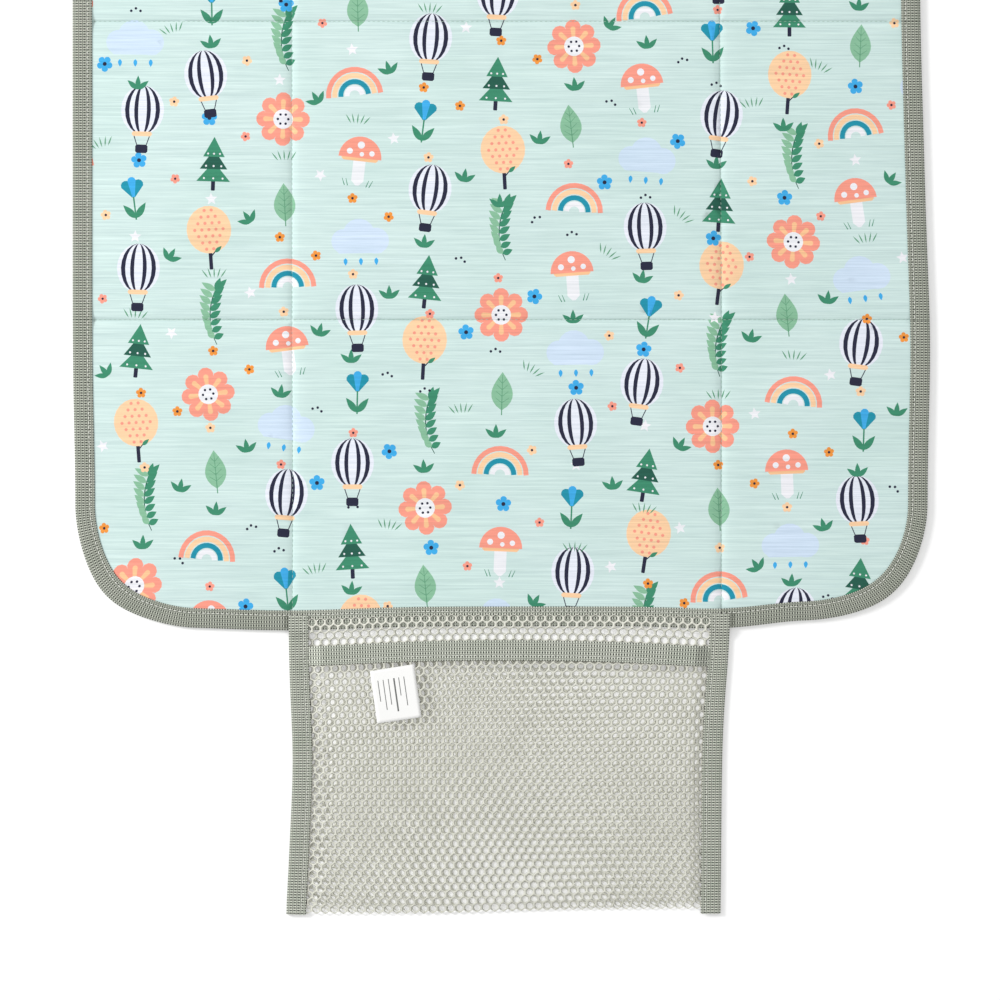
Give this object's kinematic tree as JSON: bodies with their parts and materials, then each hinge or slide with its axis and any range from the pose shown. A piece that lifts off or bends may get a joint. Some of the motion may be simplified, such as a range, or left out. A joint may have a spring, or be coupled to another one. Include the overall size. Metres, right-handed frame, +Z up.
{
  "type": "changing pad",
  "caption": "Thin quilted travel changing pad that folds on its stitched lines, bound in ribbed tape, with a mesh pocket at its foot edge",
  "frame": {"origin": "middle of the whole outline, on the surface that the pad lies on", "axes": "+X to the right of the pad, +Y towards its head, the mesh pocket at -Y, +Z up out of the printed side"},
  "size_m": [0.5554, 0.779, 0.0071],
  "materials": {
    "printed_cotton": null,
    "wadding": "white needled wadding, matte",
    "backing_cloth": "wipe-clean coated plain weave, soft sheen",
    "ribbed_tape": "sage grey ribbed tape, matte",
    "net": "warm grey hexagonal net, matte",
    "label_satin": "white satin label ribbon"
  },
  "bodies": {
    "head_centre": {"backing_head_centre": "backing_cloth", "foam_head_centre": "wadding", "top_sheet_head_centre": "printed_cotton", "binding_head_centre": "ribbed_tape"},
    "head_left": {"backing_head_left": "backing_cloth", "foam_head_left": "wadding", "top_sheet_head_left": "printed_cotton", "binding_head_left": "ribbed_tape"},
    "head_right": {"backing_head_right": "backing_cloth", "foam_head_right": "wadding", "top_sheet_head_right": "printed_cotton", "binding_head_right": "ribbed_tape"},
    "middle_centre": {"backing_middle_centre": "backing_cloth", "foam_middle_centre": "wadding", "top_sheet_middle_centre": "printed_cotton"},
    "middle_left": {"backing_middle_left": "backing_cloth", "foam_middle_left": "wadding", "top_sheet_middle_left": "printed_cotton", "binding_middle_left": "ribbed_tape"},
    "middle_right": {"backing_middle_right": "backing_cloth", "foam_middle_right": "wadding", "top_sheet_middle_right": "printed_cotton", "binding_middle_right": "ribbed_tape"},
    "foot_centre": {"backing_foot_centre": "backing_cloth", "foam_foot_centre": "wadding", "top_sheet_foot_centre": "printed_cotton", "binding_foot_centre": "ribbed_tape", "strap_tab_left": "ribbed_tape", "strap_tab_right": "ribbed_tape", "pocket_hem": "net"},
    "foot_left": {"backing_foot_left": "backing_cloth", "foam_foot_left": "wadding", "top_sheet_foot_left": "printed_cotton", "binding_foot_left": "ribbed_tape"},
    "foot_right": {"backing_foot_right": "backing_cloth", "foam_foot_right": "wadding", "top_sheet_foot_right": "printed_cotton", "binding_foot_right": "ribbed_tape"},
    "pocket": {"pocket_back_mesh": "net", "pocket_front_mesh": "net", "pocket_mesh_left_side": "net", "pocket_mesh_right_side": "net", "pocket_mesh_bottom": "net", "pocket_mouth_band": "ribbed_tape", "pocket_strap_left": "ribbed_tape", "pocket_strap_right": "ribbed_tape"},
    "label": {"care_label": "label_satin"}
  },
  "joints": [
    {"name": "left_side_fold", "type": "hinge", "parent": "middle_centre", "child": "middle_left", "pos_m": [-0.1352, 0.0935, 0.004], "axis": [0, 1, 0], "range_deg": [0, 179.95]},
    {"name": "right_side_fold", "type": "hinge", "parent": "middle_centre", "child": "middle_right", "pos_m": [0.144, 0.0935, 0.004], "axis": [0, -1, 0], "range_deg": [0, 179.95]},
    {"name": "foot_fold", "type": "hinge", "parent": "middle_centre", "child": "foot_centre", "pos_m": [0, -0.0035, 0.0121], "axis": [-1, 0, 0], "range_deg": [0, 179.95]},
    {"name": "head_fold", "type": "hinge", "parent": "middle_centre", "child": "head_centre", "pos_m": [0, 0.1905, 0.01625], "axis": [1, 0, 0], "range_deg": [0, 179.95]},
    {"name": "head_left_fold", "type": "hinge", "parent": "head_centre", "child": "head_left", "pos_m": [-0.1352, 0.29, 0.004], "axis": [0, 1, 0], "range_deg": [0, 179.95]},
    {"name": "head_right_fold", "type": "hinge", "parent": "head_centre", "child": "head_right", "pos_m": [0.144, 0.29, 0.004], "axis": [0, -1, 0], "range_deg": [0, 179.95]},
    {"name": "foot_left_fold", "type": "hinge", "parent": "foot_centre", "child": "foot_left", "pos_m": [-0.1352, -0.103, 0.004], "axis": [0, 1, 0], "range_deg": [0, 179.95]},
    {"name": "foot_right_fold", "type": "hinge", "parent": "foot_centre", "child": "foot_right", "pos_m": [0.144, -0.103, 0.004], "axis": [0, -1, 0], "range_deg": [0, 179.95]},
    {"name": "pocket_fold", "type": "hinge", "parent": "foot_centre", "child": "pocket", "pos_m": [0, -0.2025, 0.00795], "axis": [-1, 0, 0], "range_deg": [0, 179.95]},
    {"name": "label_fold", "type": "hinge", "parent": "pocket", "child": "label", "pos_m": [-0.07014, -0.22882, 0.00715], "axis": [-0.9903, -0.1392, 0], "range_deg": [0, 179.95]}
  ],
  "couplings": [
    {"joint": "head_left_fold", "follows": "left_side_fold", "ratio": 1},
    {"joint": "head_right_fold", "follows": "right_side_fold", "ratio": 1},
    {"joint": "foot_left_fold", "follows": "left_side_fold", "ratio": 1},
    {"joint": "foot_right_fold", "follows": "right_side_fold", "ratio": 1}
  ]
}
